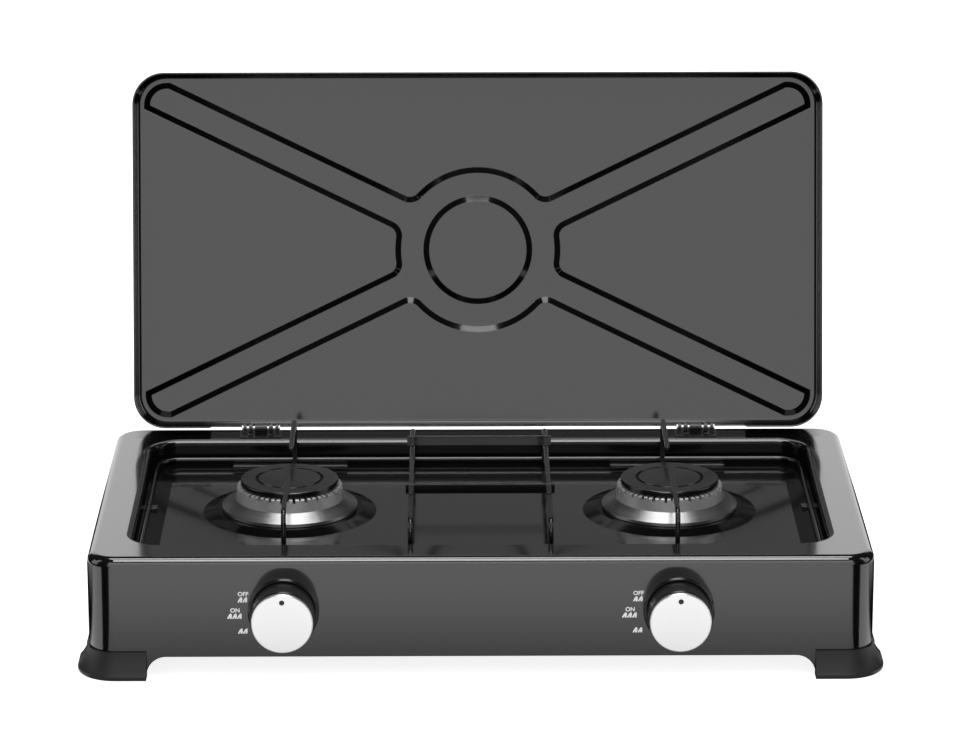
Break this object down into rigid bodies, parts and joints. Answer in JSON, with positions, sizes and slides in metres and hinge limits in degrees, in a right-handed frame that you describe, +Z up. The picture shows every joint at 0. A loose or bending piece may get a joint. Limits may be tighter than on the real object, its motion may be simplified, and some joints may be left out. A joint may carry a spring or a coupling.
{
  "type": "table-top gas hob",
  "caption": "Table-top gas hob with a pressed steel body on plastic feet, burners under a wire pan support, push-and-turn knobs and a hinged tray lid standing open.",
  "frame": {"origin": "on the table, under the middle of the plan of the whole hob with its knobs and open lid", "axes": "+X to the right seen from the front, +Y to the rear, +Z up"},
  "size_m": [0.5152, 0.3714, 0.3221],
  "materials": {
    "enamel": "gloss",
    "cap_enamel": "satin",
    "wire_enamel": "satin",
    "foot_plastic": "matte",
    "knob_plastic": "gloss",
    "knob_bright": "satin",
    "trim_steel": "brushed",
    "cast_aluminium": "cast",
    "plated_steel": "plated",
    "tap_brass": "machined"
  },
  "bodies": {
    "hob": {"body_shell": "enamel", "foot_front_left": "foot_plastic", "foot_front_right": "foot_plastic", "foot_rear_left": "foot_plastic", "foot_rear_right": "foot_plastic", "pan_ring": "wire_enamel", "finger_front_left": "wire_enamel", "finger_front_right": "wire_enamel", "finger_rear_left": "wire_enamel", "finger_rear_right": "wire_enamel", "centre_wire_left": "wire_enamel", "centre_wire_right": "wire_enamel", "cross_strip_front": "wire_enamel", "cross_strip_rear": "wire_enamel", "burner_cup_left": "cast_aluminium", "burner_cup_right": "cast_aluminium", "burner_screws": "plated_steel", "burner_trim_left": "trim_steel", "burner_trim_right": "trim_steel", "burner_crown_left": "cast_aluminium", "burner_crown_right": "cast_aluminium", "burner_cap_left": "cap_enamel", "burner_cap_right": "cap_enamel", "gas_rail": "plated_steel", "rail_bracket_left": "plated_steel", "rail_bracket_right": "plated_steel", "hose_nozzle": "tap_brass", "inlet_nut": "tap_brass", "tap_body_left": "tap_brass", "tap_body_right": "tap_brass", "tap_clamp_left": "plated_steel", "tap_clamp_right": "plated_steel", "clamp_screws": "plated_steel", "tap_bonnet_left": "tap_brass", "tap_bonnet_right": "tap_brass", "jet_left": "tap_brass", "jet_right": "tap_brass", "knob_bezel_left": "knob_plastic", "knob_bezel_right": "knob_plastic", "hinge_base_left": "enamel", "hinge_base_right": "enamel", "hinge_pin_left": "plated_steel", "hinge_pin_right": "plated_steel", "hinge_rivets": "plated_steel"},
    "lid": {"lid_panel": "enamel", "hinge_leaf_left": "enamel", "hinge_leaf_right": "enamel", "leaf_rivets": "plated_steel"},
    "plug_left": {"tap_plug_left": "tap_brass", "tap_spring_left": "plated_steel"},
    "knob_left_set": {"knob_left": "knob_plastic", "knob_face_left": "knob_bright", "spindle_left": "plated_steel"},
    "plug_right": {"tap_plug_right": "tap_brass", "tap_spring_right": "plated_steel"},
    "knob_right_set": {"knob_right": "knob_plastic", "knob_face_right": "knob_bright", "spindle_right": "plated_steel"}
  },
  "joints": [
    {"name": "lid_hinge", "type": "hinge", "parent": "hob", "child": "lid", "pos_m": [0, 0.10703, 0.0835], "axis": [1, 0, 0], "range_deg": [0, 104]},
    {"name": "tap_left_turn", "type": "hinge", "parent": "hob", "child": "plug_left", "pos_m": [-0.125, -0.15897, 0.0455], "axis": [0, -1, 0], "range_deg": [0, 180]},
    {"name": "knob_left_push", "type": "slide", "parent": "plug_left", "child": "knob_left_set", "axis": [0, 1, 0], "range_m": [0, 0.003], "stiffness_N_per_m": 1500, "springref_m": -0.002, "deforming": ["tap_spring_left"]},
    {"name": "tap_right_turn", "type": "hinge", "parent": "hob", "child": "plug_right", "pos_m": [0.125, -0.15897, 0.0455], "axis": [0, -1, 0], "range_deg": [0, 180]},
    {"name": "knob_right_push", "type": "slide", "parent": "plug_right", "child": "knob_right_set", "axis": [0, 1, 0], "range_m": [0, 0.003], "stiffness_N_per_m": 1500, "springref_m": -0.002, "deforming": ["tap_spring_right"]}
  ]
}
